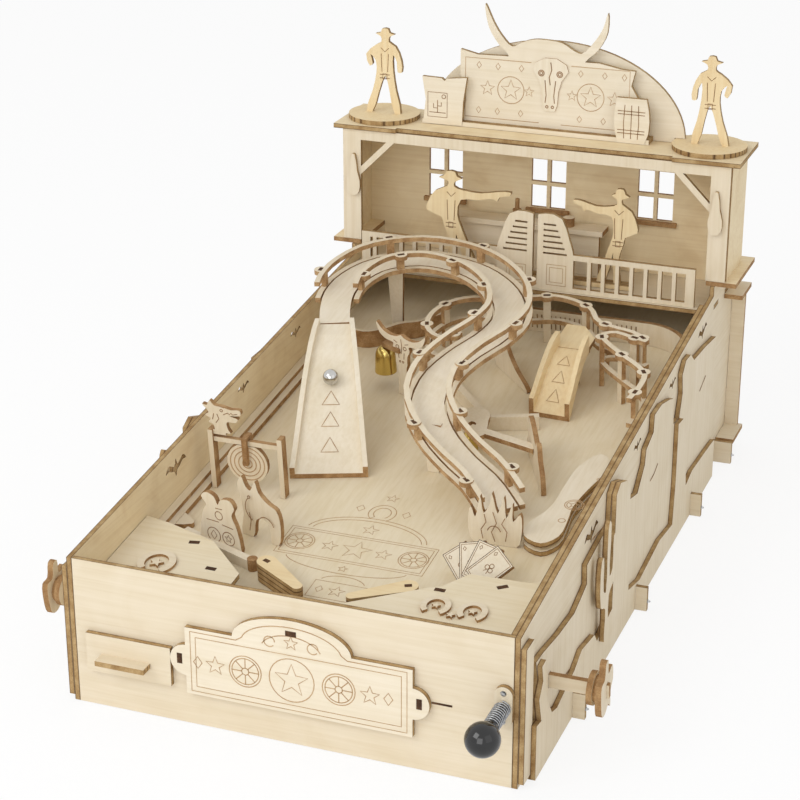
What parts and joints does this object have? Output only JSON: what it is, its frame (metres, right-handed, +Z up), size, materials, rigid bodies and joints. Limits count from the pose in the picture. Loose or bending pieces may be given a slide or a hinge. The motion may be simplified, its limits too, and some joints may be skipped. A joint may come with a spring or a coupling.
{
  "type": "tabletop pinball game",
  "caption": "Table-top pinball game of laser-cut plywood: sloped play field in a box with flippers, sprung plunger, looped ball ramp, bells, ball drawer and a saloon at the back.",
  "frame": {"origin": "centre of the bounding box, on the table", "axes": "+X to the right along the front panel, +Y to the back, +Z up"},
  "size_m": [0.32, 0.509, 0.2965],
  "materials": {
    "ply_face": "laser-cut birch plywood, bare, burnt edges",
    "ply_shade": "laser-cut birch plywood, darker inner face",
    "steel": "bright steel",
    "spring_steel": "drawn spring wire",
    "bell_brass": "polished brass",
    "black_knob": "moulded black, glossy"
  },
  "bodies": {
    "case": {"front_panel": "ply_face", "wall_right": "ply_face", "wall_left": "ply_shade", "mesa_right": "ply_face", "mesa_left": "ply_face", "back_panel": "ply_face", "cross_bar_1": "ply_face", "cross_bar_2": "ply_face", "cross_bar_3": "ply_face", "cross_bar_4": "ply_face", "play_field": "ply_face", "sign_plate": "ply_face", "plunger_bracket": "ply_face", "apron_left": "ply_face", "apron_right": "ply_face", "lane_rail": "ply_face", "straight_ramp": "ply_face", "loop_deck": "ply_face", "loop_rail_outer": "ply_face", "loop_rail_inner": "ply_face", "small_ramp": "ply_face", "guide_rails": "ply_face", "ring_guide": "ply_face", "kerf_fence": "ply_face", "target_frame": "ply_face", "money_bags": "ply_face", "bull_plate": "ply_face", "skull_stand": "ply_face", "bell_left": "bell_brass", "bell_right": "bell_brass", "v_rail": "ply_face", "pistol_plate": "ply_face", "flame_plate": "ply_face", "card_fan": "ply_face", "knife_plate": "ply_face", "lane_guide": "ply_face", "saloon_floor": "ply_face", "saloon_shell": "ply_face", "saloon_frame": "ply_face", "railing": "ply_face", "bar_counter": "ply_face", "gunmen": "ply_face", "roof_board": "ply_face", "roof_figure_left": "ply_face", "roof_figure_right": "ply_face", "roof_sign": "ply_face"},
    "drawer": {"drawer_tray": "ply_face", "drawer_front": "ply_face"},
    "plunger": {"plunger_knob": "black_knob", "plunger_rod": "steel", "plunger_spring": "spring_steel"},
    "pusher_left": {"push_rod_left": "ply_face", "push_knob_left": "ply_face"},
    "pusher_right": {"push_rod_right": "ply_face", "push_knob_right": "ply_face"},
    "flipper_left": {"flipper_left": "ply_face"},
    "flipper_right": {"flipper_right": "ply_face"},
    "target": {"target_disc": "ply_face"},
    "ball": {"ball": "steel"}
  },
  "joints": [
    {"name": "drawer_slide", "type": "slide", "parent": "case", "child": "drawer", "axis": [0, -1, 0], "range_m": [0, 0.045]},
    {"name": "plunger_slide", "type": "slide", "parent": "case", "child": "plunger", "axis": [0, 1, 0], "range_m": [0, 0.012], "stiffness_N_per_m": 80, "deforming": ["plunger_spring"]},
    {"name": "left_push", "type": "slide", "parent": "case", "child": "pusher_left", "axis": [1, 0, 0], "range_m": [0, 0.0094], "stiffness_N_per_m": 60},
    {"name": "right_push", "type": "slide", "parent": "case", "child": "pusher_right", "axis": [-1, 0, 0], "range_m": [0, 0.0094], "stiffness_N_per_m": 60},
    {"name": "left_flip", "type": "hinge", "parent": "case", "child": "flipper_left", "pos_m": [-0.041, -0.14088, 0.05382], "axis": [0, -0.1045, 0.9945], "range_deg": [0, 36]},
    {"name": "right_flip", "type": "hinge", "parent": "case", "child": "flipper_right", "pos_m": [0.041, -0.14088, 0.05382], "axis": [0, 0.1045, -0.9945], "range_deg": [0, 36]},
    {"name": "target_swing", "type": "hinge", "parent": "case", "child": "target", "pos_m": [-0.0888, -0.06076, 0.09512], "axis": [1, 0, 0], "range_deg": [-30, 30]},
    {"name": "ball_roll", "type": "slide", "parent": "case", "child": "ball", "axis": [0, -1, 0], "range_m": [0, 0.001]}
  ],
  "couplings": [
    {"joint": "left_flip", "follows": "left_push", "rad_per_m": 66.6},
    {"joint": "right_flip", "follows": "right_push", "rad_per_m": 66.6}
  ]
}
